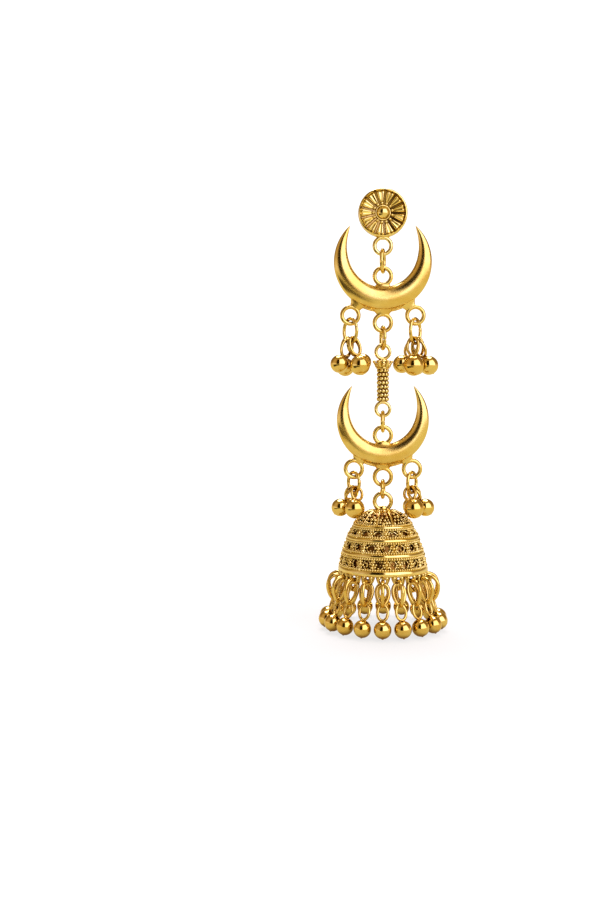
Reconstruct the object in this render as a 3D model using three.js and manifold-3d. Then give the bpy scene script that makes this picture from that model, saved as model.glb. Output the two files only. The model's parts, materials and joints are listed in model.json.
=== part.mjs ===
// Long jhumka drop earring: sun disc stud, two crescents, ribbed spacer bar and a bell dome with a fringe.
// Millimetres, +Z up. The origin is where the ear post meets the flat back of the disc; the front faces -Y.
import * as THREE from 'three';
import { mergeVertices } from 'three/addons/utils/BufferGeometryUtils.js';
import Module from 'manifold-3d';

const wasm = await Module();
wasm.setup();

const gap = 0.13;               // clear space between two wires that hang in each other
const looseGap = 0.26;          // the same, where the two wires don't cross squarely
const chainY = -0.9;            // the plane that every link hangs in
const disc = { radius: 5.15, rimInner: 4.5, thick: 1.8, floor: 1.1, bossRadius: 1.28, bossRise: 1.0 };
const post = { radius: 0.45, length: 10.5, tipLength: 0.8 };
const loop = { outer: 2.18, wire: 0.85 };        // soldered eyes of the crescents, the disc and the dome
const link = { wire: 0.76, width: 4.3 };         // jump rings between the main pieces
const clusterLink = { wire: 0.72, turn: 55 };
const bell = { ringWire: 0.52, ringWidth: 3.1, sink: 0.12 };
const bar = { ringOuter: 1.8, ringWire: 0.7, ringSink: 0.15, collarRadius: 1.75, collarHeight: 1.85,
  lugReach: 2.2, lugRadius: 0.4, bodyRadius: 1.33, ribs: 8, ribDepth: 0.16 };
const domeShell = { wall: 0.9, crownInside: -1.4, crownOutside: 0.05 };
const strand = { count: 18, firstTurn: -95, hangRadius: 9.0, lean: 18.5, leafHeight: 5.7, leafWidth: 3.7,
  leafWire: 0.6, ringWidth: 2.5, ringHeight: 3.5, ringWire: 0.45, ringSink: 0.1, ballRadius: 1.8,
  ballSink: 0.15, eyeOuter: 1.08, eyeWire: 0.42, eyeSink: 0.35 };
const hornPower = { angle: 8, width: 0.85 };     // how late and how steeply the crescents' horns narrow
const hornTip = 0.12;
const feet = {
  top: { width: 4.0, height: 1.5, sunk: 0.35 },
  bottom: { width: 4.6, height: 1.3, sunk: 0.25 },
  side: { width: 3.6, height: 1.1, sunk: 0.2 },
  thick: 0.8,
};
const underRim = { inward: 0.7, outward: 0.3, thick: 0.7, halfTurn: 40 };

// Each crescent lies between an outer circle and an inner circle that is set higher by `rise`.
const crescents = {
  upper: { outer: 10.29, inner: 7.25, rise: 1.89, tip: 138, depth: 3.1,
    sideEye: { x: 6.83, drop: 11.25 }, carrier: { width: 5.0, height: 5.9 } },
  lower: { outer: 9.66, inner: 6.93, rise: 1.68, tip: 138, depth: 2.9,
    sideEye: { x: 6.1, drop: 10.3 }, carrier: { width: 4.4, height: 5.0 } },
};

// Heights of the eyes' centres and the crescents' circles, down the chain.
const level = { studEye: -6.93, upperTopEye: -13.3, upper: -10.29, upperEye: -23.1, barTop: -29.2,
  barBottom: -41.2, lowerTopEye: -46.7, lower: -43.47, lowerEye: -55.4, domeEye: -60.6, domeApex: -62.2 };

// Outer outline of the dome: depth below the apex and radius; bands stand proud of the openwork.
const domeOutline = [
  { drop: 0.0, radius: 1.6 }, { drop: 0.3, radius: 3.0 }, { drop: 1.1, radius: 4.5 },
  { drop: 2.6, radius: 5.8 }, { drop: 2.9, radius: 6.25 }, { drop: 3.5, radius: 6.4 },
  { drop: 3.8, radius: 6.3 }, { drop: 5.0, radius: 7.1 }, { drop: 5.4, radius: 7.6 },
  { drop: 6.1, radius: 7.75 }, { drop: 6.4, radius: 7.6 }, { drop: 8.0, radius: 8.2 },
  { drop: 8.4, radius: 8.6 }, { drop: 9.2, radius: 8.75 }, { drop: 9.5, radius: 8.6 },
  { drop: 11.3, radius: 9.0 }, { drop: 11.7, radius: 9.35 }, { drop: 12.8, radius: 9.4 },
];

// The bells of each cluster: where a bell hangs along its carrier ring, where its ball lies from the ring's
// centre (x towards the middle of the earring), the ball's radius and the height of its own ring.
const bells = {
  upper: {
    left: [
      { along: 1.2, x: 1.9, y: -2.1, ball: 2.1, ring: 4.5 },
      { along: 0.36, x: 2.72, y: 1.75, ball: 1.82, ring: 4.5 },
      { along: -0.46, x: -2.35, y: -1.2, ball: 1.88, ring: 4.5 },
      { along: -1.2, x: -0.95, y: 2.6, ball: 1.93, ring: 4.9 },
    ],
    right: [
      { along: 1.15, x: 0.65, y: -2.6, ball: 2.15, ring: 4.5 },
      { along: 0.45, x: 2.72, y: 1.15, ball: 1.9, ring: 4.6 },
      { along: -0.42, x: -2.8, y: -0.1, ball: 2.0, ring: 4.6 },
      { along: -1.2, x: -0.5, y: 3.3, ball: 1.95, ring: 4.9 },
    ],
  },
  lower: {
    left: [
      { along: 1.16, x: 0.0, y: -3.6, ball: 2.05, ring: 3.6 },
      { along: -0.06, x: -2.85, y: -0.05, ball: 1.85, ring: 3.6 },
      { along: -1.16, x: -0.3, y: 3.4, ball: 1.9, ring: 3.8 },
    ],
    right: [
      { along: 1.16, x: 0.0, y: -3.6, ball: 2.05, ring: 3.6 },
      { along: -0.06, x: -2.85, y: -0.05, ball: 1.85, ring: 3.6 },
      { along: -1.16, x: -0.3, y: 3.4, ball: 1.9, ring: 3.8 },
    ],
  },
};

const gold = { polished: [0xe8b84a, 0.18], satin: [0xe2b24c, 0.35], antique: [0xc99a3c, 0.42] };
const rad = THREE.MathUtils.degToRad;

function toSolid(geometry) {
  const bare = geometry.clone();
  bare.deleteAttribute('normal');
  bare.deleteAttribute('uv');
  const merged = mergeVertices(bare, 1e-4);
  const corners = merged.index.array;
  const kept = [];
  for (let i = 0; i < corners.length; i += 3) {
    const [a, b, c] = [corners[i], corners[i + 1], corners[i + 2]];
    if (a !== b && b !== c && c !== a) kept.push(a, b, c);
  }
  return new wasm.Manifold(new wasm.Mesh({
    numProp: 3,
    vertProperties: Float32Array.from(merged.attributes.position.array),
    triVerts: Uint32Array.from(kept),
  }));
}

function toGeometry(solid) {
  const mesh = solid.getMesh();
  const geometry = new THREE.BufferGeometry();
  geometry.setAttribute('position', new THREE.BufferAttribute(mesh.vertProperties, 3));
  geometry.setIndex(new THREE.BufferAttribute(mesh.triVerts, 1));
  geometry.computeVertexNormals();
  return geometry;
}

function soldered(geometries) {
  return toGeometry(geometries.map(toSolid).reduce((whole, piece) => whole.add(piece)));
}

function piece(name, geometry, finish) {
  const [color, roughness] = gold[finish];
  const mesh = new THREE.Mesh(geometry, new THREE.MeshStandardMaterial({ color, roughness, metalness: 1 }));
  mesh.name = name;
  return mesh;
}

// A wire ring in the XZ plane, width and height measured outside; equal ones give a round ring.
function wireRing(width, height, wire, segments = 12, sides = 5) {
  const [halfWide, halfHigh] = [(width - wire) / 2, (height - wire) / 2];
  const geometry = new THREE.TorusGeometry(halfWide, wire / 2, sides, segments);
  const at = geometry.attributes.position;
  for (let i = 0; i < at.count; i += 1) {
    const turn = Math.atan2(at.getY(i), at.getX(i));
    at.setY(i, at.getY(i) + (halfHigh - halfWide) * Math.sin(turn));
  }
  return geometry.rotateX(Math.PI / 2);
}

function eye(z, x = 0) {
  return wireRing(2 * loop.outer, 2 * loop.outer, loop.wire).translate(x, 0, z);
}

// Turned about Z: the profile is listed as [radius, height] from the lowest point of the axis upwards.
function turned(profile, segments) {
  const points = profile.map(([radius, height]) => new THREE.Vector2(radius, height));
  return new THREE.LatheGeometry(points, segments).rotateX(Math.PI / 2);
}

function earStud() {
  const profile = [[0, 0], [disc.radius, 0], [disc.radius, disc.thick], [disc.rimInner, disc.thick],
    [disc.rimInner - 0.25, disc.floor], [disc.bossRadius + 0.35, disc.floor]];
  const bossSteps = 3;
  for (let i = 0; i < bossSteps; i += 1) {
    const turn = (i / bossSteps) * (Math.PI / 2);
    profile.push([disc.bossRadius * Math.cos(turn), disc.floor + 0.1 + disc.bossRise * Math.sin(turn)]);
  }
  profile.push([0, disc.floor + 0.1 + disc.bossRise]);
  const face = turned(profile, 36).rotateX(Math.PI / 2);
  const sunk = 0.3;
  const pin = turned([[0, -sunk], [post.radius, -sunk], [post.radius, post.length - post.tipLength],
    [post.radius * 0.45, post.length], [0, post.length]], 12).rotateX(-Math.PI / 2);
  return soldered([face, pin, eye(level.studEye).translate(0, chainY, 0)]);
}

function jumpRing(name, upperEye, lowerTop, upperWire, lowerWire, turn) {
  const high = upperEye + upperWire / 2 + gap + link.wire;
  const low = lowerTop - lowerWire / 2 - gap - link.wire;
  const ring = piece(name, wireRing(link.width, high - low, link.wire, 14), 'polished');
  ring.position.set(0, chainY, (high + low) / 2);
  ring.rotation.z = rad(90 - turn);
  return ring;
}

// The crescent's body: an oval section carried round the outer circle, from horn to horn.
function crescentBody(form) {
  const [stations, sides] = [30, 8];
  const positions = [];
  const indices = [];
  for (let i = 0; i <= stations; i += 1) {
    const angle = rad(form.tip) * Math.sin((i / stations - 0.5) * Math.PI);
    const bore = -form.rise * Math.cos(angle) + Math.sqrt(form.inner ** 2 - (form.rise * Math.sin(angle)) ** 2);
    const taper = (1 - Math.abs(angle / rad(form.tip)) ** hornPower.angle) ** hornPower.width;
    const width = Math.max((form.outer - bore) * taper, hornTip);
    const depth = form.depth * (width / (form.outer - form.inner + form.rise)) ** 0.75;
    for (let j = 0; j < sides; j += 1) {
      const around = (j / sides) * 2 * Math.PI;
      const radius = form.outer - width / 2 + (width / 2) * Math.cos(around);
      positions.push(radius * Math.sin(angle), (depth / 2) * Math.sin(around), -radius * Math.cos(angle));
    }
  }
  for (let i = 0; i < stations; i += 1) {
    for (let j = 0; j < sides; j += 1) {
      const [a, b] = [i * sides + j, i * sides + ((j + 1) % sides)];
      indices.push(a, b, a + sides, b, b + sides, a + sides);
    }
  }
  const last = stations * sides;
  for (let j = 1; j < sides - 1; j += 1) {
    indices.push(0, j + 1, j);
    indices.push(last, last + j, last + j + 1);
  }
  const geometry = new THREE.BufferGeometry();
  geometry.setAttribute('position', new THREE.Float32BufferAttribute(positions, 3));
  geometry.setIndex(indices);
  return geometry;
}

// A thin solder foot under an eye: wide where it lies on the crescent, narrow at the wire.
function foot({ width, height }) {
  const shape = new THREE.Shape();
  shape.moveTo(-width / 2, 0);
  shape.lineTo(width / 2, 0);
  shape.quadraticCurveTo(width * 0.3, height * 0.45, width * 0.28, height);
  shape.lineTo(-width * 0.28, height);
  shape.quadraticCurveTo(-width * 0.3, height * 0.45, -width / 2, 0);
  return new THREE.ExtrudeGeometry(shape, { depth: feet.thick, bevelEnabled: false, curveSegments: 3 })
    .translate(0, 0, -feet.thick / 2).rotateX(Math.PI / 2);
}

// The narrow rim that runs under the crescent from one side eye to the other.
function rim(form) {
  const [inside, outside] = [form.outer - underRim.inward, form.outer + underRim.outward];
  const [from, to] = [rad(-90 - underRim.halfTurn), rad(-90 + underRim.halfTurn)];
  const shape = new THREE.Shape();
  shape.absarc(0, 0, outside, from, to, false);
  shape.absarc(0, 0, inside, to, from, true);
  shape.closePath();
  return new THREE.ExtrudeGeometry(shape, { depth: underRim.thick, bevelEnabled: false, curveSegments: 10 })
    .translate(0, 0, -underRim.thick / 2).rotateX(Math.PI / 2);
}

function crescent(name, form, height, topEye, bottomEye) {
  const side = form.sideEye;
  const sideTurn = Math.atan2(side.x, side.drop);
  const reach = Math.hypot(side.x, side.drop);
  const parts = [crescentBody(form), rim(form), eye(topEye - height), eye(bottomEye - height)];
  const innerEdge = form.rise - form.inner;
  const hanging = ({ width, height, sunk }) => foot({ width, height }).rotateX(Math.PI)
    .translate(0, 0, sunk - form.outer);
  parts.push(foot(feet.top).translate(0, 0, innerEdge - feet.top.sunk), hanging(feet.bottom));
  for (const turn of [-sideTurn, sideTurn]) {
    const x = reach * Math.sin(turn);
    parts.push(eye(-reach * Math.cos(turn), x));
    parts.push(hanging(feet.side).rotateY(-turn));
  }
  const mesh = piece(name, soldered(parts), 'satin');
  mesh.position.set(0, chainY, height);
  return mesh;
}

// A bell hangs down -Z from the centre of the wire that carries it; its ring lies in the YZ plane.
const bellTop = clusterLink.wire / 2 + looseGap + bell.ringWire;
const bellDrop = ({ ball, ring }) => bellTop - ring - ball + bell.sink;

function bellShape(form) {
  const ring = wireRing(bell.ringWidth, form.ring, bell.ringWire, 8, 4).rotateZ(Math.PI / 2);
  const ball = new THREE.SphereGeometry(form.ball, 8, 6).rotateX(Math.PI / 2);
  return soldered([ring.translate(0, 0, bellTop - form.ring / 2), ball.translate(0, 0, bellDrop(form))]);
}

function cluster(side, row, form, height) {
  const mirror = side === 'left' ? 1 : -1;
  const group = new THREE.Group();
  group.position.set(-mirror * form.sideEye.x, chainY, height - form.sideEye.drop);
  group.rotation.z = -mirror * rad(clusterLink.turn);
  const { width, height: tall } = form.carrier;
  const [halfWide, halfHigh] = [(width - clusterLink.wire) / 2, (tall - clusterLink.wire) / 2];
  const centre = -loop.outer + loop.wire + looseGap + clusterLink.wire / 2 - halfHigh;
  const carrier = piece(`${row}_cluster_link_${side}`, wireRing(width, tall, clusterLink.wire), 'polished');
  carrier.position.z = centre;
  group.add(carrier);
  const [cos, sin] = [Math.cos(rad(clusterLink.turn)), Math.sin(rad(clusterLink.turn))];
  bells[row][side].forEach((one, index) => {
    const drop = -bellDrop(one);
    const [alongRing, acrossRing] = [one.x * cos - one.y * sin, one.x * sin + one.y * cos];
    const swing = Math.asin(acrossRing / drop);
    const tilt = Math.asin((alongRing - one.along) / (drop * Math.cos(swing)));
    const hanging = piece(`${row}_bell_${side}_${index + 1}`, bellShape(one), 'polished');
    const wireDrop = halfHigh * Math.sqrt(1 - (one.along / halfWide) ** 2);
    hanging.position.set(mirror * one.along, 0, centre - wireDrop);
    hanging.rotation.set(swing, -mirror * tilt, 0, 'YXZ');
    group.add(hanging);
  });
  return group;
}

function centreBar() {
  const top = level.barTop - bar.ringOuter + bar.ringSink;
  const bottom = level.barBottom + bar.ringOuter - bar.ringSink;
  const bodyTop = top - bar.collarHeight;
  const pitch = (bodyTop - bottom) / bar.ribs;
  const profile = [[0, bottom]];
  for (let i = 0; i < bar.ribs; i += 1) {
    profile.push([bar.bodyRadius - bar.ribDepth, bottom + i * pitch]);
    profile.push([bar.bodyRadius, bottom + (i + 0.3) * pitch]);
    profile.push([bar.bodyRadius, bottom + (i + 0.7) * pitch]);
  }
  profile.push([bar.bodyRadius, bodyTop], [bar.collarRadius, bodyTop + 0.35], [bar.collarRadius, top - 0.45],
    [bar.bodyRadius, top], [0, top]);
  const lugs = new THREE.CylinderGeometry(bar.lugRadius, bar.lugRadius, 2 * bar.lugReach, 8)
    .rotateZ(Math.PI / 2);
  const ringAt = (z) => wireRing(2 * bar.ringOuter, 2 * bar.ringOuter, bar.ringWire).translate(0, 0, z);
  const mesh = piece('centre_bar', soldered([turned(profile, 12), ringAt(level.barTop), ringAt(level.barBottom),
    lugs.translate(0, 0, top - bar.collarHeight / 2)]), 'antique');
  mesh.position.y = chainY;
  return mesh;
}

const hangDrop = -(domeOutline.at(-1).drop + strand.eyeOuter * 2 - strand.eyeSink - strand.eyeWire / 2);
const strandTurn = (index) => rad(strand.firstTurn + (index * 360) / strand.count);

function jhumkaDome() {
  const outside = domeOutline.map(({ drop, radius }) => [radius, -drop]).reverse();
  const inside = domeOutline.filter(({ drop }, index) => drop > 1 && index % 3 === 0)
    .map(({ drop, radius }) => [radius - domeShell.wall, -drop]);
  const rimAt = domeOutline.at(-1);
  const profile = [[0, domeShell.crownInside], ...inside, [rimAt.radius - domeShell.wall, -rimAt.drop],
    ...outside, [0, domeShell.crownOutside]];
  const parts = [turned(profile, 24), eye(level.domeEye - level.domeApex)];
  for (let i = 0; i < strand.count; i += 1) {
    const hoop = wireRing(2 * strand.eyeOuter, 2 * strand.eyeOuter, strand.eyeWire, 6, 4).rotateZ(Math.PI / 2);
    parts.push(hoop.translate(strand.hangRadius, 0, hangDrop - strand.eyeWire / 2 + strand.eyeOuter)
      .rotateZ(strandTurn(i)));
  }
  const mesh = piece('jhumka_dome', soldered(parts), 'antique');
  mesh.position.set(0, chainY, level.domeApex);
  return mesh;
}

// A strand hangs down -Z from the centre of its eye's wire: leaf loop, small ring and ball.
function strandShape() {
  const leafTop = strand.eyeWire / 2 + looseGap + strand.leafWire;
  const leaf = wireRing(strand.leafWidth, strand.leafHeight, strand.leafWire, 12, 4);
  const ringTop = leafTop - strand.leafHeight + strand.leafWire + strand.ringWire - strand.ringSink;
  const ring = wireRing(strand.ringWidth, strand.ringHeight, strand.ringWire, 8, 4).rotateZ(Math.PI / 2);
  const ball = new THREE.SphereGeometry(strand.ballRadius, 8, 6).rotateX(Math.PI / 2);
  return soldered([leaf.translate(0, 0, leafTop - strand.leafHeight / 2),
    ring.translate(0, 0, ringTop - strand.ringHeight / 2),
    ball.translate(0, 0, ringTop - strand.ringHeight - strand.ballRadius + strand.ballSink)]);
}

function fringe() {
  const group = new THREE.Group();
  group.position.set(0, chainY, level.domeApex + hangDrop);
  for (let i = 0; i < strand.count; i += 1) {
    const arm = new THREE.Group();
    arm.rotation.z = strandTurn(i);
    const hanging = piece(`fringe_strand_${i + 1}`, strandShape(), 'polished');
    hanging.position.x = strand.hangRadius;
    hanging.rotation.y = -rad(strand.lean);
    arm.add(hanging);
    group.add(arm);
  }
  return group;
}

const bottomWire = (centre, outer, wire) => centre - outer + wire / 2;
const topWire = (centre, outer, wire) => centre + outer - wire / 2;
const eyeBottom = (centre) => bottomWire(centre, loop.outer, loop.wire);
const eyeTop = (centre) => topWire(centre, loop.outer, loop.wire);
const barEyeTop = topWire(level.barTop, bar.ringOuter, bar.ringWire);
const barEyeBottom = bottomWire(level.barBottom, bar.ringOuter, bar.ringWire);

const earring = new THREE.Group();
earring.add(
  piece('ear_stud', earStud(), 'antique'),
  jumpRing('link_1', eyeBottom(level.studEye), eyeTop(level.upperTopEye), loop.wire, loop.wire, 14),
  crescent('upper_crescent', crescents.upper, level.upper, level.upperTopEye, level.upperEye),
  jumpRing('link_2', eyeBottom(level.upperEye), barEyeTop, loop.wire, bar.ringWire, -8),
  centreBar(),
  jumpRing('link_3', barEyeBottom, eyeTop(level.lowerTopEye), bar.ringWire, loop.wire, 8),
  crescent('lower_crescent', crescents.lower, level.lower, level.lowerTopEye, level.lowerEye),
  jumpRing('link_4', eyeBottom(level.lowerEye), eyeTop(level.domeEye), loop.wire, loop.wire, 10),
  jhumkaDome(),
  fringe(),
);
for (const side of ['left', 'right']) {
  earring.add(cluster(side, 'upper', crescents.upper, level.upper));
  earring.add(cluster(side, 'lower', crescents.lower, level.lower));
}

export default earring;
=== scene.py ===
import json
import math
import random

import bmesh
import bpy
import numpy as np
from mathutils import Matrix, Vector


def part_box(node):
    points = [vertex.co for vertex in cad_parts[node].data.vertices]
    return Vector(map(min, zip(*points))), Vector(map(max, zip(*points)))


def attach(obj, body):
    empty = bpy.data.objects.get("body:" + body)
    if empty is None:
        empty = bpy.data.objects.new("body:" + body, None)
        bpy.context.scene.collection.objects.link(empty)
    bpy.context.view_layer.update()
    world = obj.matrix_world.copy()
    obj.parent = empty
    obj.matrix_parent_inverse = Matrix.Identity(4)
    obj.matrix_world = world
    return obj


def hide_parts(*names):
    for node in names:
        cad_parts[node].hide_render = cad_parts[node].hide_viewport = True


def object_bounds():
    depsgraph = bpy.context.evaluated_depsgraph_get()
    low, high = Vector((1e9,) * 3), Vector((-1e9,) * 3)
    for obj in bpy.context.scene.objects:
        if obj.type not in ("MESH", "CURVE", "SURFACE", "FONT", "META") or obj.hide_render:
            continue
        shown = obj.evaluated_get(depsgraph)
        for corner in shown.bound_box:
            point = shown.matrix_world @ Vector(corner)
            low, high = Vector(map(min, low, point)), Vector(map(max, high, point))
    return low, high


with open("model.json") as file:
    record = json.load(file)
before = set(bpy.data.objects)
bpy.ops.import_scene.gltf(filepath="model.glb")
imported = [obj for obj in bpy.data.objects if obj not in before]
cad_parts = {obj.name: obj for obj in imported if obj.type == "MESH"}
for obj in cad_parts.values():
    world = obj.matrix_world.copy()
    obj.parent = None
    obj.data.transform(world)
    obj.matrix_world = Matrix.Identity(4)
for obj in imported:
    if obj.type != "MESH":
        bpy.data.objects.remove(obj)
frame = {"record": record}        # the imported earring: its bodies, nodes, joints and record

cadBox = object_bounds()
mm = 0.001               # shapes are worked out in millimetres and scaled when their mesh is made
hangY = -0.9             # the whole chain hangs in this plane
eyeSize = {"outer": 2.18, "wire": 0.85}      # soldered eyes of the disc, the crescents and the dome
chance = random.Random(11)
bodyOf = {}
for body, nodes in frame["record"]["behaviour"]["bodies"].items():
    for node in nodes:
        bodyOf[node] = body


# Collects the wires, balls and sheets that are soldered into one piece.
class Metalwork:
    def __init__(self):
        self.points = []
        self.faces = []
        self.count = 0

    def add(self, points, faces):
        self.points.append(np.asarray(points, float).reshape(-1, 3))
        self.faces += [tuple(int(i) + self.count for i in face) for face in faces]
        self.count += len(self.points[-1])

    # rows of points joined into a skin; a row closes on itself unless wrapColumns is off
    def skin(self, grid, wrapRows=False, wrapColumns=True, capEnds=False):
        rows, columns = grid.shape[:2]
        faces = []
        for i in range(rows if wrapRows else rows - 1):
            below, above = i * columns, ((i + 1) % rows) * columns
            for j in range(columns if wrapColumns else columns - 1):
                k = (j + 1) % columns
                faces.append((below + j, below + k, above + k, above + j))
        if capEnds:
            faces.append(tuple(range(columns))[::-1])
            faces.append(tuple((rows - 1) * columns + j for j in range(columns)))
        self.add(grid, faces)

    # a round wire along a path; across is a direction that the path never runs along
    def wire(self, path, radius, across, sides=12, closed=True, flat=1.0):
        path = np.asarray(path, float)
        if closed:
            along = np.roll(path, -1, 0) - np.roll(path, 1, 0)
        else:
            along = np.gradient(path, axis=0)
        along = along / np.linalg.norm(along, axis=1)[:, None]
        first = np.cross(along, np.asarray(across, float))
        first = first / np.linalg.norm(first, axis=1)[:, None]
        second = np.cross(first, along)
        turn = np.linspace(0, 2 * math.pi, sides, endpoint=False)
        thick = np.broadcast_to(radius, len(path))[:, None, None]
        ring = first[:, None] * np.cos(turn)[None, :, None]
        ring = ring + second[:, None] * (flat * np.sin(turn))[None, :, None]
        self.skin(path[:, None] + thick * ring, wrapRows=closed, capEnds=not closed)

    # a shape turned about Z from a list of (radius, height)
    def turned(self, outline, segments=64, closed=False):
        outline = np.asarray(outline, float)
        turn = np.linspace(0, 2 * math.pi, segments, endpoint=False)
        grid = np.stack([outline[:, :1] * np.cos(turn), outline[:, :1] * np.sin(turn),
                         np.repeat(outline[:, 1:], segments, 1)], -1)
        self.skin(grid, wrapRows=closed)

    def ball(self, centre, radius, segments=28, tall=1.0):
        lift = np.linspace(-math.pi / 2, math.pi / 2, segments // 2 + 1)
        work = Metalwork()
        work.turned(np.stack([radius * np.cos(lift).clip(0), tall * radius * np.sin(lift)], 1), segments)
        self.take(work.moved(Matrix.Translation(centre)))

    # many small balls at once
    def grains(self, centres, radii):
        unit, triangles = grainBall
        radii = np.broadcast_to(radii, len(centres))
        for centre, radius in zip(centres, radii):
            self.add(np.asarray(centre) + unit * radius, triangles)

    def take(self, other):
        for points in other.points:
            self.points.append(points)
        self.faces += [tuple(i + self.count for i in face) for face in other.faces]
        self.count += other.count

    def moved(self, matrix):
        other = Metalwork()
        turn = np.array(matrix.to_3x3())
        shift = np.array(matrix.translation)
        other.points = [points @ turn.T + shift for points in self.points]
        other.faces = list(self.faces)
        other.count = self.count
        return other

    # makes the mesh; depthOf gives 0 on bare gold and 1 deep in a recess, kept as the recess attribute from
    # which the antique finish paints shade and patina
    def finish(self, name, nodes, finishName, depthOf=None):
        points = np.concatenate(self.points)
        mesh = bpy.data.meshes.new(name)
        mesh.from_pydata((points * mm).tolist(), [], self.faces)
        if depthOf is not None:
            layer = mesh.attributes.new("recess", "FLOAT", "POINT")
            layer.data.foreach_set("value", np.clip(depthOf(points), 0, 1).astype(np.float32))
        work = bmesh.new()
        work.from_mesh(mesh)
        bmesh.ops.remove_doubles(work, verts=work.verts, dist=1e-8)
        bmesh.ops.recalc_face_normals(work, faces=work.faces)
        work.to_mesh(mesh)
        work.free()
        mesh.polygons.foreach_set("use_smooth", [True] * len(mesh.polygons))
        mesh.set_sharp_from_angle(angle=math.radians(50))
        piece = bpy.data.objects.new(name, mesh)
        bpy.context.scene.collection.objects.link(piece)
        mesh.materials.append(finishes[finishName])
        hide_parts(*nodes)
        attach(piece, bodyOf[nodes[0]])
        return piece


def smallBall():
    work = bmesh.new()
    bmesh.ops.create_icosphere(work, subdivisions=2, radius=1.0)
    points = np.array([v.co for v in work.verts])
    faces = [tuple(v.index for v in f.verts) for f in work.faces]
    work.free()
    return points, faces


grainBall = smallBall()


# Wraps a node socket, so that shader maths can be written as ordinary expressions.
class Flow:
    def __init__(self, tree, socket):
        self.tree = tree
        self.socket = socket

    def maths(self, operation, *values):
        return node(self.tree, "ShaderNodeMath", {"operation": operation}, dict(enumerate(values)))

    def __add__(self, other):
        return self.maths("ADD", self, other)

    def __radd__(self, other):
        return self.maths("ADD", other, self)

    def __sub__(self, other):
        return self.maths("SUBTRACT", self, other)

    def __rsub__(self, other):
        return self.maths("SUBTRACT", other, self)

    def __mul__(self, other):
        return self.maths("MULTIPLY", self, other)

    def __rmul__(self, other):
        return self.maths("MULTIPLY", other, self)

    def highest(self, other):
        return self.maths("MAXIMUM", self, other)


# Adds one node: its type, its settings, which are set first, and the values or links of its sockets.
def node(tree, kind, settings=None, inputs=None, output=0):
    made = tree.nodes.new(kind)
    for key, value in (settings or {}).items():
        if key == "stops":
            ramp = made.color_ramp
            while len(ramp.elements) < len(value):
                ramp.elements.new(0.5)
            for element, (place, colour) in zip(ramp.elements, value):
                element.position = place
                element.color = colour
        else:
            setattr(made, key, value)
    for key, value in (inputs or {}).items():
        if isinstance(value, Flow):
            tree.links.new(value.socket, made.inputs[key])
        else:
            made.inputs[key].default_value = value
    return Flow(tree, made.outputs[output]) if made.outputs else made


def mixed(tree, factor, first, second):
    return node(tree, "ShaderNodeMix", {"data_type": "RGBA"}, {0: factor, 6: first, 7: second}, 2)


def between(tree, value, low, high, start=0.0, end=1.0):
    return node(tree, "ShaderNodeMapRange", {"interpolation_type": "SMOOTHSTEP"},
                {0: value, 1: low, 2: high, 3: start, 4: end})


goldLook = {
    "bright": (0.9, 0.69, 0.215, 1),
    "warm": (0.84, 0.58, 0.14, 1),
    "pale": (0.98, 0.81, 0.33, 1),
    # dark tarnish colour, also used for painted shade between pieces and in recesses
    "tarnishAndShade": (0.2, 0.075, 0.006, 1),
}


# Gold plate: grain is the size of its fine texture in millimetres, brushed how much of its relief runs in
# stretched strokes.
def goldFinish(name, roughness, grain, bump, brushed=0.0, recessed=False):
    first, second = ("pale", "bright") if recessed else ("bright", "warm")
    material = bpy.data.materials.new(name)
    material.use_nodes = True
    tree = material.node_tree
    tree.nodes.clear()
    place = node(tree, "ShaderNodeTexCoord", output=3)
    patches = node(tree, "ShaderNodeTexNoise", {}, {"Vector": place, "Scale": 260, "Detail": 3})
    fine = node(tree, "ShaderNodeTexNoise", {}, {"Vector": place, "Scale": 1000 / grain, "Detail": 2})
    stretched = node(tree, "ShaderNodeMapping", {}, {0: place, 3: (1600, 1600, 9000)})
    strokes = node(tree, "ShaderNodeTexNoise", {}, {"Vector": stretched, "Scale": 1.0, "Detail": 2})
    colour = mixed(tree, between(tree, patches, 0.35, 0.7), goldLook[first], goldLook[second])
    # painted shade: the colour darkens towards the tarnish colour where ambient occlusion finds pieces
    # crowded together; on the antique finish this also stands for the patina of its hollows
    occlusionShade = node(tree, "ShaderNodeAmbientOcclusion", {"samples": 8}, {"Distance": 0.0025}, 1)
    shadeAndPatina = between(tree, occlusionShade, 0.8, 0.15, 0.0, 0.45 if recessed else 0.95)
    colour = mixed(tree, shadeAndPatina, colour, goldLook["tarnishAndShade"])
    rough = roughness + (fine - 0.5) * (roughness * 0.8) + (patches - 0.5) * (roughness * 0.5)
    if recessed:
        # painted shade and patina: recesses darken towards the tarnish colour with their depth
        depth = node(tree, "ShaderNodeAttribute", {"attribute_name": "recess"}, output=2)
        dark = between(tree, depth + (fine - 0.5) * 0.35, 0.35, 1.0)
        colour = mixed(tree, dark, colour, goldLook["tarnishAndShade"])
        rough = rough + dark * 0.2
    height = fine * (1 - brushed) + strokes * brushed
    relief = node(tree, "ShaderNodeBump", {}, {"Strength": bump, "Distance": 0.00002, "Height": height})
    metal = node(tree, "ShaderNodeBsdfPrincipled", {}, {
        "Base Color": colour, "Metallic": 1.0, "Roughness": rough, "Normal": relief})
    node(tree, "ShaderNodeOutputMaterial", {}, {"Surface": metal})
    return material


finishes = {
    "polished_gold": goldFinish("polishedGold", 0.13, 0.35, 0.18),
    "satin_gold": goldFinish("satinGold", 0.22, 0.18, 0.5, brushed=0.45),
    "antique_gold": goldFinish("antiqueGold", 0.13, 0.2, 0.25, recessed=True),
}
print("finishes ready")


def lowest(nodeName):
    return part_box(nodeName)[0].z / mm


def highest(nodeName):
    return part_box(nodeName)[1].z / mm


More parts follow.
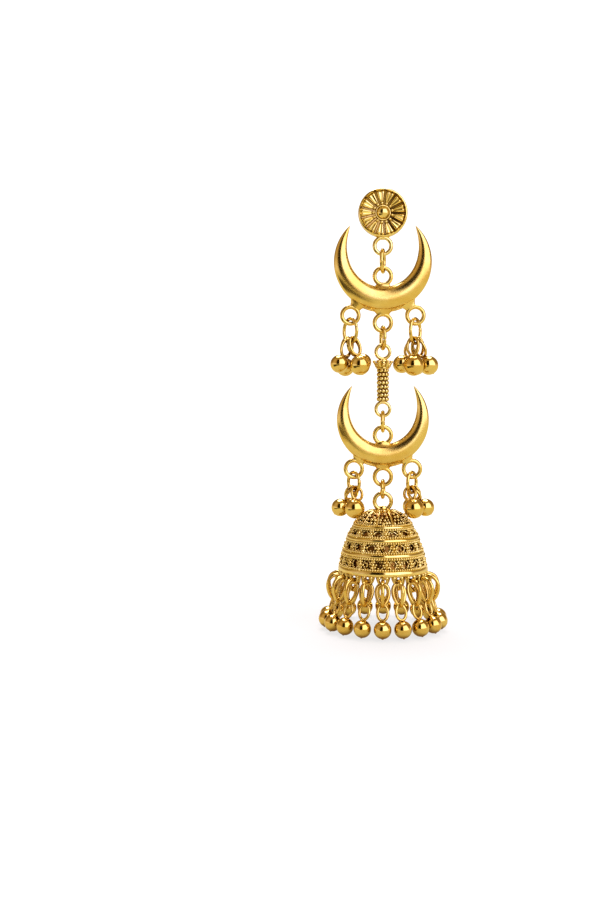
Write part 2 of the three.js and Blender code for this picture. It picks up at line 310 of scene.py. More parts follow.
# An oval in the XZ plane, measured over the outside of its wire; pinch above 0 makes it wider at the top.
def ovalPath(width, height, wire, steps=48, pinch=0.0):
    turn = np.linspace(0, 2 * math.pi, steps, endpoint=False)
    across = (width - wire) / 2 * np.sin(turn) * (1 + pinch * np.cos(turn))
    return np.stack([across, np.zeros(steps), (height - wire) / 2 * np.cos(turn)], 1)


def wireOval(width, height, wire, steps=48, pinch=0.0, sides=14):
    work = Metalwork()
    work.wire(ovalPath(width, height, wire, steps, pinch), wire / 2, (0, 1, 0), sides)
    return work


# A jump ring is bent from wire, so its two ends meet at a fine cut.
def cutRing(width, height, wire, cutAt=0.3, steps=56):
    full = ovalPath(width, height, wire, 720)
    first = int(720 * cutAt) + 2
    kept = np.roll(full, -first, 0)[:717]
    picked = kept[np.linspace(0, 716, steps).astype(int)]
    ends = np.ones(steps)
    ends[[0, -1]] = 0.82
    work = Metalwork()
    work.wire(picked, wire / 2 * ends, (0, 1, 0), 14, closed=False)
    return work


def eye():
    return wireOval(2 * eyeSize["outer"], 2 * eyeSize["outer"], eyeSize["wire"], 56)


# A solder foot: oval layers that narrow from the width on the body to a rounded top inside the wire.
def solderFoot(wide, narrow, deep, shallow, tall, flare=3.2):
    rise = np.linspace(0, 1, 16)
    turn = np.linspace(0, 2 * math.pi, 32, endpoint=False)
    closing = np.sqrt(1 - ((rise - 0.7) / 0.301).clip(0, 1) ** 2)
    width = (narrow + (wide - narrow) * (1 - rise) ** flare) * closing
    depth = (shallow + (deep - shallow) * (1 - rise) ** flare) * closing
    grid = np.stack([width[:, None] / 2 * np.cos(turn), depth[:, None] / 2 * np.sin(turn),
                     np.repeat(rise[:, None] * tall, len(turn), 1)], -1)
    work = Metalwork()
    work.skin(grid, capEnds=True)
    return work


def shift(x, y, z):
    return Matrix.Translation((x, y, z))


def spin(axis, degrees):
    return Matrix.Rotation(math.radians(degrees), 4, axis)


disc = {"radius": 5.15, "thick": 1.8, "floor": 0.95, "rimInner": 4.66, "boss": 1.3, "collar": 1.5,
        "petals": 13, "petalFrom": 2.2, "petalTo": 4.62, "grainAt": 2.0, "grain": 0.33}
post = {"radius": 0.45, "length": 10.5, "notchAt": 8.2}


def discFace():
    work = Metalwork()
    r, t, f, inner = disc["radius"], disc["thick"], disc["floor"], disc["rimInner"]
    work.turned([(0, 0), (r - 0.12, 0), (r - 0.03, 0.06), (r, 0.16), (r, t - 0.36), (r - 0.04, t - 0.16),
                 (r - 0.16, t - 0.04), (r - 0.32, t), (inner + 0.16, t - 0.04), (inner + 0.05, t - 0.16),
                 (inner, t - 0.34), (inner - 0.03, f + 0.1), (inner - 0.12, f), (0, f)], 128)
    s = np.linspace(0, 1, 22)
    u = np.linspace(-1, 1, 27)
    for i in range(disc["petals"]):
        reach = disc["petalFrom"] + (disc["petalTo"] - disc["petalFrom"]) * s
        half = 0.34 + 0.65 * s ** 0.9
        ends = (1 - np.abs(2 * s - 1) ** 7) ** 0.5
        twin = (1 - np.abs(u) ** 6) ** 0.5 * (0.62 + 0.38 * np.sin(math.pi * np.abs(u) ** 0.9) ** 1.4)
        top = f + (0.34 + 0.26 * s[:, None]) * twin[None] * ends[:, None]
        upper = np.stack([half[:, None] * u[None], np.repeat(reach[:, None], len(u), 1), top], -1)
        under = upper[:, ::-1].copy()
        under[..., 2] = f - 0.1
        petal = Metalwork()
        petal.skin(np.concatenate([upper, under[:, 1:-1]], 1), capEnds=True)
        turn = spin("Z", 360 / disc["petals"] * (i + 0.22))
        work.take(petal.moved(turn))
        grain = Metalwork()
        grain.ball((0, disc["grainAt"], f + 0.22), disc["grain"], 16)
        work.take(grain.moved(turn))
    lift = np.linspace(0, math.pi / 2, 14)
    base = f + 0.12
    dome = [(disc["boss"] * math.cos(a), base + 0.98 * math.sin(a)) for a in lift]
    work.turned([(disc["boss"], f - 0.05)] + dome[:-1] + [(0, base + 0.98)], 64)
    collar = Metalwork()
    turn = np.linspace(0, 2 * math.pi, 72, endpoint=False)
    collarRadius = disc["collar"]
    ring = np.stack([collarRadius * np.cos(turn), collarRadius * np.sin(turn), np.full(72, f + 0.14)], 1)
    collar.wire(ring, 0.17, (0, 0, 1), 12)
    work.take(collar)
    return work.moved(spin("X", 90))


def earPost():
    work = Metalwork()
    r, end, notch = post["radius"], post["length"], post["notchAt"]
    work.turned([(0, -0.2), (r + 0.75, -0.2), (r + 0.7, 0.06), (r + 0.35, 0.16), (r + 0.1, 0.36), (r, 0.7),
                 (r, notch - 0.3), (r - 0.09, notch - 0.15), (r - 0.12, notch), (r - 0.09, notch + 0.15),
                 (r, notch + 0.3), (r, end - 0.6), (r * 0.8, end - 0.2), (r * 0.45, end), (0, end)], 40)
    return work.moved(spin("X", -90))


def makeStud():
    work = Metalwork()
    work.take(discFace())
    work.take(earPost())
    z = lowest("ear_stud") + eyeSize["outer"]
    work.take(eye().moved(shift(0, hangY, z)))
    solder = solderFoot(3.4, 2.3, 1.3, 0.7, 0.75).moved(spin("X", 180))
    work.take(solder.moved(shift(0, hangY, -disc["radius"] + 0.22)))

    # recess depth for the painted shade and patina: lower inside the rim is darker, the disc floor darkest
    def depthOf(points):
        front = -points[:, 1]
        inRim = np.hypot(points[:, 0], points[:, 2]) < disc["rimInner"] - 0.02
        return np.where(inRim & (front > 0.3), 0.75 - (front - disc["floor"]) / 0.55, 0.0)

    work.finish("sunDiscStud", ["ear_stud"], "antique_gold", depthOf)


jumpRings = {
    "link_1": {"turn": 14, "cut": 0.30}, "link_2": {"turn": -8, "cut": 0.72},
    "link_3": {"turn": 8, "cut": 0.25}, "link_4": {"turn": 10, "cut": 0.77},
}
jumpWire = {"wire": 0.76, "width": 4.3}


def makeJumpRings():
    for name, ring in jumpRings.items():
        low, high = lowest(name), highest(name)
        work = cutRing(jumpWire["width"], high - low, jumpWire["wire"], ring["cut"])
        place = shift(0, hangY, (low + high) / 2) @ spin("Z", 90 - ring["turn"])
        work.moved(place).finish("jumpRing" + name[-1], [name], "polished_gold")


crescents = {
    "upper": {"outer": 10.29, "inner": 7.25, "rise": 1.89, "tip": 138, "deep": 3.1,
              "sideX": 6.83, "sideDrop": 11.25, "topEye": -3.01, "bottomEye": -12.81,
              "carrier": {"width": 5.0, "height": 5.9}},
    "lower": {"outer": 9.66, "inner": 6.93, "rise": 1.68, "tip": 138, "deep": 2.9,
              "sideX": 6.1, "sideDrop": 10.3, "topEye": -3.23, "bottomEye": -11.93,
              "carrier": {"width": 4.4, "height": 5.0}},
}


def crescentHeight(row):
    return lowest(row + "_crescent") + eyeSize["outer"] - crescents[row]["bottomEye"]


# Width of the crescent at an angle from its lowest point, and the radius of its middle line.
def crescentSection(form, angle):
    bore = (-form["rise"] * np.cos(angle)
            + np.sqrt(form["inner"] ** 2 - (form["rise"] * np.sin(angle)) ** 2))
    taper = (1 - np.abs(angle / math.radians(form["tip"])) ** 8).clip(0, 1) ** 0.85
    width = np.maximum((form["outer"] - bore) * taper, 0.12)
    return width, form["outer"] - width / 2


def arcPoints(radius, angle):
    return np.stack([radius * np.sin(angle), np.zeros_like(angle), -radius * np.cos(angle)], -1)


def makeCrescent(row):
    form = crescents[row]
    work = Metalwork()
    angle = math.radians(form["tip"]) * np.sin(np.linspace(-0.5, 0.5, 181) * math.pi)
    width, middle = crescentSection(form, angle)
    deep = form["deep"] * (width / (form["outer"] - form["inner"] + form["rise"])) ** 0.75
    around = np.linspace(0, 2 * math.pi, 48, endpoint=False)
    radius = middle[:, None] + width[:, None] / 2 * np.cos(around)
    side = deep[:, None] / 2 * np.sign(np.sin(around)) * np.abs(np.sin(around)) ** 0.92
    grid = np.stack([radius * np.sin(angle)[:, None], side, -radius * np.cos(angle)[:, None]], -1)
    work.skin(grid, capEnds=True)
    seam = np.linspace(-0.8, 0.8, 150) * math.radians(form["tip"])
    width, middle = crescentSection(form, seam)
    thin = 0.11 * (1 - np.linspace(-1, 1, 150) ** 6) ** 0.5 + 0.01
    work.wire(arcPoints(middle - width / 2 + 0.02, seam), thin, (0, 1, 0), 8, closed=False)
    reach = np.linspace(-1, 1, 90) * math.radians(39)
    work.wire(arcPoints(form["outer"] + 0.08, reach), 0.25, (0, 1, 0), 12, closed=False)
    outer = eyeSize["outer"]
    innerEdge = form["rise"] - form["inner"]
    work.take(eye().moved(shift(0, 0, form["topEye"])))
    work.take(solderFoot(5.0, 2.7, 2.2, 0.9, 1.35, 1.7).moved(shift(0, 0, innerEdge - 0.45)))
    work.take(eye().moved(shift(0, 0, form["bottomEye"])))
    hanging = shift(0, 0, -form["outer"] + 0.35) @ spin("X", 180)
    footLevel = -form["bottomEye"] - form["outer"] - outer + 1.15
    work.take(solderFoot(5.2, 2.5, 1.6, 0.85, footLevel, 2).moved(hanging))
    turn = math.atan2(form["sideX"], form["sideDrop"])
    far = math.hypot(form["sideX"], form["sideDrop"])
    for sign in (-1, 1):
        tilt = spin("Y", -math.degrees(turn) * sign)
        work.take(eye().moved(tilt @ shift(0, 0, -far)))
        foot = solderFoot(3.9, 2.2, 1.5, 0.85, far - outer - form["outer"] + 1.1, 2)
        work.take(foot.moved(tilt @ shift(0, 0, -form["outer"] + 0.35) @ spin("X", 180)))
    placed = work.moved(shift(0, hangY, crescentHeight(row)))
    placed.finish(row + "Crescent", [row + "_crescent"], "satin_gold")


bell = {"ringWire": 0.52, "ringWidth": 3.1, "sink": 0.12}
carrierRing = {"wire": 0.72, "turn": 55, "gap": 0.26}
bellTop = carrierRing["wire"] / 2 + carrierRing["gap"] + bell["ringWire"]
# each bell: where it hangs along its carrier ring, where its ball lies from the ring's centre, the radius of
# its ball and the height of its own ring
clusters = {
    "upper": {
        "left": [(1.2, 1.9, -2.1, 2.1, 4.5), (0.36, 2.72, 1.75, 1.82, 4.5),
                (-0.46, -2.35, -1.2, 1.88, 4.5), (-1.2, -0.95, 2.6, 1.93, 4.9)],
        "right": [(1.15, 0.65, -2.6, 2.15, 4.5), (0.45, 2.72, 1.15, 1.9, 4.6),
                 (-0.42, -2.8, -0.1, 2.0, 4.6), (-1.2, -0.5, 3.3, 1.95, 4.9)],
    },
    "lower": {
        "left": [(1.16, 0.0, -3.6, 2.05, 3.6), (-0.06, -2.85, -0.05, 1.85, 3.6),
                (-1.16, -0.3, 3.4, 1.9, 3.8)],
        "right": [(1.16, 0.0, -3.6, 2.05, 3.6), (-0.06, -2.85, -0.05, 1.85, 3.6),
                 (-1.16, -0.3, 3.4, 1.9, 3.8)],
    },
}


# A hollow ball with a cap under its ring and, where foot is above 0, a drop of solder that wide below.
def hangingBall(radius, centreZ, foot=0.0):
    work = Metalwork()
    lift = np.linspace(-math.pi / 2, math.pi / 2, 25)
    outline = [(radius * math.cos(a), radius * math.sin(a)) for a in lift]
    outline[0] = (0, -radius)
    outline[-1] = (0, radius)
    work.turned(outline, 40)
    if foot > 0:
        work.turned([(0, -radius - foot * 0.5),
                     (foot * 0.6, -radius - foot * 0.45),
                     (foot, -radius - foot * 0.2),
                     (foot * 1.15, -radius + 0.04), (foot * 1.5, -radius + 0.16), (0, -radius + 0.5)], 20)
    work.turned([(0, radius + 0.12), (0.3, radius + 0.1), (0.5, radius - 0.02), (0.62, radius - 0.16),
                 (0, radius - 0.5)], 24)
    return work.moved(shift(0, 0, centreZ))


def makeCluster(row, side):
    form = crescents[row]
    mirror = 1 if side == "left" else -1
    width, height = form["carrier"]["width"], form["carrier"]["height"]
    halfWide, halfHigh = (width - carrierRing["wire"]) / 2, (height - carrierRing["wire"]) / 2
    centre = (-eyeSize["outer"] + eyeSize["wire"] + carrierRing["gap"] + carrierRing["wire"] / 2 - halfHigh)
    place = (shift(-mirror * form["sideX"], hangY, crescentHeight(row) - form["sideDrop"])
             @ spin("Z", -mirror * carrierRing["turn"]))
    ring = cutRing(width, height, carrierRing["wire"], 0.2)
    ring.moved(place @ shift(0, 0, centre)).finish(
        f"{row}ClusterRing{side.title()}", [f"{row}_cluster_link_{side}"], "polished_gold")
    cos, sin = math.cos(math.radians(carrierRing["turn"])), math.sin(math.radians(carrierRing["turn"]))
    for i, (along, x, y, ball, tall) in enumerate(clusters[row][side]):
        drop = tall + ball - bellTop - bell["sink"]
        alongRing, acrossRing = x * cos - y * sin, x * sin + y * cos
        swing = math.asin(acrossRing / drop)
        tilt = math.asin((alongRing - along) / (drop * math.cos(swing)))
        hang = (shift(mirror * along, 0, centre - halfHigh * math.sqrt(1 - (along / halfWide) ** 2))
                @ Matrix.Rotation(-mirror * tilt, 4, "Y") @ Matrix.Rotation(swing, 4, "X"))
        work = Metalwork()
        loop = ovalPath(bell["ringWidth"], tall, bell["ringWire"], 44)
        work.wire(loop, bell["ringWire"] / 2 + 0.04, (0, 1, 0))
        work = work.moved(spin("Z", 90))
        work = work.moved(shift(0, 0, bellTop - tall / 2))
        work.take(hangingBall(ball, -drop, foot=0.17))
        work.moved(place @ hang).finish(
            f"{row}Bell{side.title()}{i + 1}", [f"{row}_bell_{side}_{i + 1}"], "polished_gold")


bar = {"ring": 1.8, "ringWire": 0.7, "core": 0.98, "body": 1.33, "rows": 8, "beads": 8, "bead": 0.45,
       "capHeight": 1.85, "prongs": 6}


def makeBar():
    work = Metalwork()
    topRing = highest("centre_bar") - bar["ring"]
    bottomRing = lowest("centre_bar") + bar["ring"]
    top = topRing - bar["ring"] + 0.15
    bottom = bottomRing + bar["ring"] - 0.15
    bodyTop = top - bar["capHeight"]
    for z in (topRing, bottomRing):
        work.take(wireOval(2 * bar["ring"], 2 * bar["ring"], bar["ringWire"], 52).moved(shift(0, 0, z)))
    work.turned([(0, bottom - 0.1), (0.7, bottom - 0.08), (bar["core"], bottom + 0.1),
                 (bar["core"], bodyTop), (1.3, bodyTop + 0.3), (1.38, bodyTop + 1.0),
                 (1.15, top - 0.1), (0.6, top + 0.12), (0, top + 0.16)], 48)
    pitch = (bodyTop - bottom) / bar["rows"]
    for i in range(bar["rows"]):
        z = bottom + (i + 0.5) * pitch
        for k in range(bar["beads"]):
            a = 2 * math.pi * (k + 0.5 * (i % 2)) / bar["beads"]
            reach = bar["body"] - bar["bead"]
            work.ball((reach * math.cos(a), reach * math.sin(a), z), bar["bead"], 14, 1.02)
    turn = np.linspace(0, 2 * math.pi, 64, endpoint=False)
    for z, radius in ((bodyTop + 0.1, 0.2), (top - 0.3, 0.18)):
        ring = np.stack([1.25 * np.cos(turn), 1.25 * np.sin(turn), np.full(64, z)], 1)
        work.wire(ring, radius, (0, 0, 1), 10)
    for k in range(bar["prongs"]):
        s = np.linspace(0, 1, 12)
        out = 1.25 + 0.58 * s ** 1.3
        path = np.stack([out, np.zeros(12), bodyTop + 0.3 + 1.15 * s], 1)
        prong = Metalwork()
        prong.wire(path, 0.36 - 0.1 * s, (0, 1, 0), 12, closed=False)
        prong.ball((1.8, 0, bodyTop + 1.42), 0.34, 14)
        work.take(prong.moved(spin("Z", 360 / bar["prongs"] * k)))
        a = 2 * math.pi * (k + 0.5) / bar["prongs"]
        work.ball((1.35 * math.cos(a), 1.35 * math.sin(a), bodyTop + 0.75), 0.4, 14)

    # recess depth for the painted shade and patina: deeper inside the beaded body is darker
    def depthOf(points):
        out = np.hypot(points[:, 0], points[:, 1] - hangY)
        inBody = (points[:, 2] < top) & (points[:, 2] > bottom)
        return np.where(inBody, (bar["body"] - out) / 0.3, 0.0)

    work.moved(shift(0, hangY, 0)).finish("ribbedBar", ["centre_bar"], "antique_gold", depthOf)


domeOutline = [(0.0, 1.6), (0.3, 3.0), (1.1, 4.5), (2.6, 5.8), (2.9, 6.25), (3.5, 6.4), (3.8, 6.3),
               (5.0, 7.1), (5.4, 7.6), (6.1, 7.75), (6.4, 7.6), (8.0, 8.2), (8.4, 8.6), (9.2, 8.75),
               (9.5, 8.6), (11.3, 9.0), (11.7, 9.35), (12.8, 9.4)]
dome = {
    "eyeAboveApex": 1.6,
    "bands": [{"top": 2.85, "bottom": 3.5}, {"top": 5.3, "bottom": 6.1},
              {"top": 8.3, "bottom": 9.15}, {"top": 11.6, "bottom": 12.8}],
    "rows": [{"top": 3.5, "bottom": 5.3, "cells": 14}, {"top": 6.1, "bottom": 8.3, "cells": 16},
             {"top": 9.15, "bottom": 11.6, "cells": 20}],
    "ribs": 11, "grain": 0.31,
}
strand = {"count": 18, "firstTurn": -95, "hangRadius": 9.0, "lean": 18.5,
          "leafHeight": 5.7, "leafWidth": 3.7, "leafWire": 0.6,
          "ringWidth": 2.5, "ringHeight": 3.5, "ringWire": 0.45,
          "ball": 1.8, "eyeOuter": 1.08, "eyeWire": 0.42,
          "gap": 0.26}
hangDrop = -(domeOutline[-1][0] + strand["eyeOuter"] * 2 - 0.35 - strand["eyeWire"] / 2)
outlineDrops = [drop for drop, _ in domeOutline]
outlineRadii = [radius for _, radius in domeOutline]


def domeRadius(drop):
    return np.interp(drop, outlineDrops, outlineRadii)


# A point on the dome's openwork, at a turn round it and a depth below the apex, pushed in by sunk.
def onDome(turn, drop, sunk=0.0):
    slope = (domeRadius(drop + 0.15) - domeRadius(drop - 0.15)) / 0.3
    lean = math.atan(slope)
    radius = domeRadius(drop) - sunk * math.cos(lean)
    return (radius * math.cos(turn), radius * math.sin(turn), -drop - sunk * math.sin(lean))


def domeBand(top, bottom):
    work = Metalwork()
    a = np.linspace(-math.pi / 2, math.pi / 2, 13)
    middle, half = (top + bottom) / 2, (bottom - top) / 2
    lower, upper = domeRadius(bottom), domeRadius(top)
    crown = (lower + upper) / 2
    outline = [(crown - 0.3 + 0.34 * math.cos(t) + (lower - upper) / 2 * math.sin(-t) * 0.9,
                -middle + half * math.sin(t)) for t in a]
    outline += [(upper - 0.55, -top - 0.05), (lower - 0.55, -bottom + 0.05)]
    work.turned(outline, 144, closed=True)
    return work


def beadedEdge(work, drop, size, sunk):
    radius = float(domeRadius(drop)) - sunk
    count = int(2 * math.pi * radius / (size * 1.9))
    turn = np.arange(count) * 2 * math.pi / count
    centres = np.stack([radius * np.cos(turn), radius * np.sin(turn), np.full(count, -drop)], 1)
    work.grains(centres, size)


# A row of openwork: an upright post with a flower of grains between every two cells.
def openwork(work, row, index):
    top, bottom, cells = row["top"], row["bottom"], row["cells"]
    height, middle = bottom - top, (top + bottom) / 2
    radius = float(domeRadius(middle))
    size = dome["grain"]
    for k in range(cells):
        turn = 2 * math.pi * (k + 0.5 * index) / cells - math.pi / 2
        drops = np.linspace(top - 0.1, bottom + 0.1, 9)
        post = np.array([onDome(turn, drop, 0.34) for drop in drops])
        work.wire(post, 0.4, (-math.sin(turn), math.cos(turn), 0), 10, closed=False, flat=0.5)
        work.grains([onDome(turn, middle, 0.04)], size * 1.25)
        for p in range(6):
            a = 2 * math.pi * (p + chance.uniform(0.3, 0.7)) / 6
            away = size * 2.0
            lift = away * math.cos(a) * min(1.0, height / 2.2)
            place = onDome(turn + away * math.sin(a) / radius, middle + lift, chance.uniform(0.02, 0.24))
            work.grains([place], size * chance.uniform(0.75, 1.05))
        cell = turn + math.pi / cells
        half = math.pi / cells * radius - 0.6
        loop = [onDome(cell + half * math.cos(t) / radius, middle + (height / 2 - 0.38) * math.sin(t), 0.3)
                for t in np.linspace(0, 2 * math.pi, 20, endpoint=False)]
        work.wire(loop, 0.13, (math.cos(cell), math.sin(cell), 0), 6)
        # grains of the inner wall that show through the opening
        for _ in range(6):
            side = chance.uniform(-0.9, 0.9) * half / radius
            drop = middle + chance.uniform(-0.4, 0.4) * height
            work.grains([onDome(cell + side, drop, chance.uniform(0.2, 0.6))], chance.uniform(0.14, 0.28))


# The crown: ribs from the top plate to the first band, with rows of grains between them.
def crown(work):
    ribs = dome["ribs"]
    for k in range(ribs):
        turn = 2 * math.pi * (k + 0.5) / ribs - math.pi / 2
        rib = np.array([onDome(turn, drop, 0.14) for drop in np.linspace(0.12, 2.9, 16)])
        work.wire(rib, 0.24, (-math.sin(turn), math.cos(turn), 0), 8, closed=False)
        for drop, places in ((0.7, (0.0,)), (1.2, (-0.2, 0.2)), (1.75, (-0.28, 0.0, 0.28)),
                             (2.35, (-0.31, -0.1, 0.1, 0.31))):
            for part in places:
                at = turn + math.pi / ribs + (part + chance.uniform(-0.05, 0.05)) * 2 * math.pi / ribs
                deep = chance.uniform(0.0, 0.2)
                work.grains([onDome(at, drop + chance.uniform(-0.1, 0.1), deep)], chance.uniform(0.24, 0.4))


def makeDome():
    work = Metalwork()
    for band in dome["bands"]:
        work.take(domeBand(band["top"], band["bottom"]))
    for index, row in enumerate(dome["rows"]):
        openwork(work, row, index)
        beadedEdge(work, row["top"] + 0.16, 0.27, 0.1)
        beadedEdge(work, row["bottom"] - 0.16, 0.27, 0.1)
    crown(work)
    beadedEdge(work, dome["bands"][0]["top"] - 0.05, 0.21, 0.12)
    # an inner wall behind the openwork; its depth gives it almost the full tarnish colour, painted shade for
    # the dark inside seen through the openings
    lining = [(float(domeRadius(drop)) - 0.62, -drop) for drop in np.linspace(0.2, 12.7, 26)]
    work.turned(lining + [(radius - 0.2, z) for radius, z in lining[::-1]], 96, closed=True)
    for k in range(2 * strand["count"]):
        turn = math.radians(strand["firstTurn"] + (k + 0.5) * 180 / strand["count"])
        work.grains([(8.95 * math.cos(turn), 8.95 * math.sin(turn), -13.0)], 0.42)
    work.turned([(0, -0.7), (1.4, -0.55), (2.1, -0.5), (2.25, -0.3), (1.9, -0.1), (1.3, 0.05), (0.7, 0.2),
                 (0, 0.25)], 48)
    work.take(eye().moved(shift(0, 0, dome["eyeAboveApex"])))
    work.take(solderFoot(2.8, 1.6, 1.5, 0.8, 0.8).moved(shift(0, 0, -0.1)))
    hoop = wireOval(2 * strand["eyeOuter"], 2 * strand["eyeOuter"], strand["eyeWire"], 26, sides=10)
    hoop = hoop.moved(shift(strand["hangRadius"], 0, hangDrop - strand["eyeWire"] / 2 + strand["eyeOuter"])
                      @ spin("Z", 90))
    for i in range(strand["count"]):
        work.take(hoop.moved(spin("Z", 360 / strand["count"] * i + strand["firstTurn"])))
    apex = highest("jhumka_dome") - eyeSize["outer"] - dome["eyeAboveApex"]

    # recess depth for the painted shade and patina: deeper below the openwork is darker
    def depthOf(points):
        drop = apex - points[:, 2]
        out = np.hypot(points[:, 0], points[:, 1] - hangY)
        skinDepth = domeRadius(drop) - out
        onDomeWall = (drop > 0.3) & (drop < domeOutline[-1][0] + 0.02)
        return np.where(onDomeWall, (skinDepth - 0.2) / 0.48, 0.0)

    work.moved(shift(0, hangY, apex)).finish("jhumkaDome", ["jhumka_dome"], "antique_gold", depthOf)
    return apex


def strandShape():
    leafTop = strand["eyeWire"] / 2 + strand["gap"] + strand["leafWire"]
    ringTop = leafTop - strand["leafHeight"] + strand["leafWire"] + strand["ringWire"] - 0.1
    work = Metalwork()
    path = ovalPath(strand["leafWidth"] + 0.4, strand["leafHeight"], strand["leafWire"], 52, pinch=0.2)
    path[:, 0] += 0.4 * (path[:, 0] / path[:, 0].max()) ** 2      # the leaf bows outwards
    leaf = Metalwork()
    leaf.wire(path, strand["leafWire"] / 2 + 0.08, (0, 1, 0), 14)
    work.take(leaf.moved(shift(0, 0, leafTop - strand["leafHeight"] / 2)))
    cross = wireOval(3.2, strand["leafHeight"] - 0.8, 0.72, 40, pinch=0.22, sides=10).moved(spin("Z", 90))
    work.take(cross.moved(shift(0, 0, leafTop - strand["leafHeight"] / 2 - 0.05)))
    ring = Metalwork()
    loop = ovalPath(strand["ringWidth"], strand["ringHeight"], strand["ringWire"], 32)
    ring.wire(loop, 0.3, (0, 1, 0), 10)
    work.take(ring.moved(shift(0, 0, ringTop - strand["ringHeight"] / 2) @ spin("Z", 90)))
    centre = ringTop - strand["ringHeight"] - strand["ball"] + 0.19
    work.take(hangingBall(strand["ball"] - 0.04, centre, foot=0.2))
    return work


def makeFringe(apex):
    shape = strandShape()
    for i in range(strand["count"]):
        arm = shift(0, hangY, apex + hangDrop) @ spin("Z", 360 / strand["count"] * i + strand["firstTurn"])
        hang = arm @ shift(strand["hangRadius"], 0, 0) @ spin("Y", -strand["lean"])
        shape.moved(hang).finish(f"fringeStrand{i + 1}", [f"fringe_strand_{i + 1}"], "polished_gold")


makeStud()
makeJumpRings()
print("disc stud and jump rings ready")
for row in ("upper", "lower"):
    makeCrescent(row)
    for side in ("left", "right"):
        makeCluster(row, side)
print("crescents and bells ready")
makeBar()
makeFringe(makeDome())
print("bar, dome and fringe ready")


studio = {
    "floorDrop": 0.3,                     # millimetres below the lowest ball
    "front": 0.39, "back": 0.28, "left": 0.51, "right": 1.62, "top": 6.6, "window": 0.02,
    "horizon": 0.75, "dim": (1.0, 0.66, 0.26, 1), "white": (1.0, 0.96, 1.3, 1),
    "paper": (0.56, 0.53, 0.43, 1), "paperGlow": 1.02, "mirrored": (0.7, 0.62, 0.44, 1),
    "darkPatchLeft": 100, "darkPatchFront": 112,    # where the dark part of the floor's glow for reflections begins, to the left and in front
}
view = {"focal": 1000, "frameHeight": 900, "distance": 210, "left": 17.4, "level": -39.3, "shift": -50}


def makeFloor():
    mesh = bpy.data.meshes.new("studioFloor")
    z = cadBox[0][2] - studio["floorDrop"] * mm
    half = 1.5
    corners = [(-half, -half, z), (half, -half, z), (half, half, z), (-half, half, z)]
    mesh.from_pydata(corners, [], [(0, 1, 2, 3)])
    floor = bpy.data.objects.new("studioFloor", mesh)
    bpy.context.scene.collection.objects.link(floor)
    material = bpy.data.materials.new("paleFloor")
    material.use_nodes = True
    tree = material.node_tree
    tree.nodes.clear()
    place = node(tree, "ShaderNodeTexCoord", output=3)
    away = node(tree, "ShaderNodeVectorMath", {"operation": "LENGTH"}, {0: place}, 1)
    paper = node(tree, "ShaderNodeBsdfDiffuse", {}, {"Color": studio["paper"]})
    bright = node(tree, "ShaderNodeEmission", {}, {"Strength": studio["paperGlow"]})
    parts = tree.nodes.new("ShaderNodeSeparateXYZ")
    tree.links.new(place.socket, parts.inputs[0])
    x, y, _ = (Flow(tree, socket) for socket in parts.outputs)
    # The floor glows. The camera sees the lit paper near the earring and an even white glow further out;
    # other rays see a dim warm glow, dark to the left and in front, which the gold shows as dark
    # reflections.
    left, front = studio["darkPatchLeft"] * mm, studio["darkPatchFront"] * mm
    darkPatch = between(tree, 0 - x - y * 0.3, left, left + 0.03) * between(tree, 0 - y, 0.0, 0.03)
    low = between(tree, 0 - y, front, front + 0.04) * between(tree, 0 - x, 0.0, 0.04)
    darkPatch = darkPatch.highest(low * between(tree, away, 0.26, 0.16)) * between(tree, away, 0.6, 0.3) * 0.95
    glow = mixed(tree, darkPatch, studio["mirrored"], (0.02, 0.012, 0.004, 1))
    mirrored = node(tree, "ShaderNodeEmission", {}, {"Color": glow})
    seen = node(tree, "ShaderNodeLightPath", output=0)
    light = node(tree, "ShaderNodeMixShader", {}, {0: seen, 1: mirrored, 2: bright})
    fade = 0.2 + between(tree, away, 0.03, 0.14) * 0.8
    surface = node(tree, "ShaderNodeMixShader", {}, {0: fade, 1: paper, 2: light})
    node(tree, "ShaderNodeOutputMaterial", {}, {"Surface": surface})
    mesh.materials.append(material)


# A soft-edged panel in the sky, between two turns and two heights of the direction.
def patch(tree, turn, height, turnFrom, turnTo, heightFrom, heightTo, soft=0.07):
    inTurn = between(tree, turn, turnFrom, turnFrom + soft) * between(tree, turn, turnTo, turnTo - soft)
    aboveLow = between(tree, height, heightFrom, heightFrom + soft)
    return inTurn * (aboveLow * between(tree, height, heightTo, heightTo - soft))


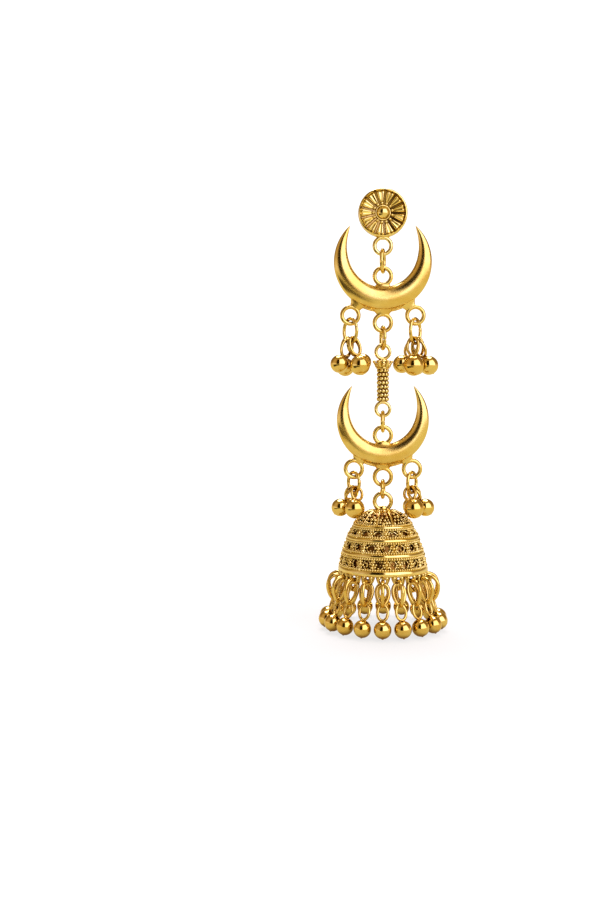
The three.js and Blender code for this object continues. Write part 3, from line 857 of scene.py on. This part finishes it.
# A light tent: a bright wall to the right, a softer one to the left and a dark window left of the camera.
def makeStudioLight():
    world = bpy.data.worlds.new("lightTent")
    bpy.context.scene.world = world
    world.use_nodes = True
    tree = world.node_tree
    tree.nodes.clear()
    direction = node(tree, "ShaderNodeTexCoord", output=0)
    parts = tree.nodes.new("ShaderNodeSeparateXYZ")
    tree.links.new(direction.socket, parts.inputs[0])
    x, y, z = (Flow(tree, socket) for socket in parts.outputs)
    turn = x.maths("ARCTAN2", x, 0 - y)       # 0 is towards the camera, above 0 is to the right
    front = between(tree, 0 - y, -0.3, 0.15)
    right = patch(tree, turn, z, 0.0, 1.35, 0.02, 0.88)
    left = patch(tree, turn, z, -1.9, -0.9, -0.2, 0.85)
    window = patch(tree, turn, z, -0.7, -0.02, -0.25, 0.84)
    top = between(tree, z * 0.93 + y * 0.37, 0.93, 0.965)
    glow = studio["back"] + front * (studio["front"] - studio["back"])
    glow = glow + right * (studio["right"] - studio["front"]) + left * (studio["left"] - studio["front"])
    glow = glow + top * (studio["top"] - studio["front"])
    glow = glow + between(tree, z, 0.3, 0.0) * (1 - right) * (studio["horizon"] - studio["front"])
    glow = glow + (studio["window"] - glow) * window
    seen = node(tree, "ShaderNodeLightPath", output=0)
    tint = mixed(tree, between(tree, glow, 0.1, 1.2), studio["dim"], studio["white"])
    tint = mixed(tree, seen, tint, (1, 1, 1, 1))
    strength = glow * (1 - seen) + seen
    light = node(tree, "ShaderNodeBackground", {}, {"Color": tint, "Strength": strength})
    node(tree, "ShaderNodeOutputWorld", {}, {"Surface": light})


def makeCamera():
    camera = bpy.data.objects.new("camera", bpy.data.cameras.new("camera"))
    bpy.context.scene.collection.objects.link(camera)
    camera.data.sensor_fit = "VERTICAL"
    camera.data.sensor_height = 24
    camera.data.lens = view["focal"] / view["frameHeight"] * 24
    camera.data.clip_start = 0.005
    camera.location = (-view["left"] * mm, (hangY - view["distance"]) * mm, view["level"] * mm)
    camera.rotation_euler = (math.radians(90), 0, 0)
    camera.data.shift_y = view["shift"] / view["frameHeight"]
    bpy.context.scene.camera = camera


makeFloor()
makeStudioLight()
makeCamera()
bpy.context.scene.view_settings.view_transform = "Standard"
bpy.context.scene.view_settings.look = "Medium High Contrast"
print("studio ready")
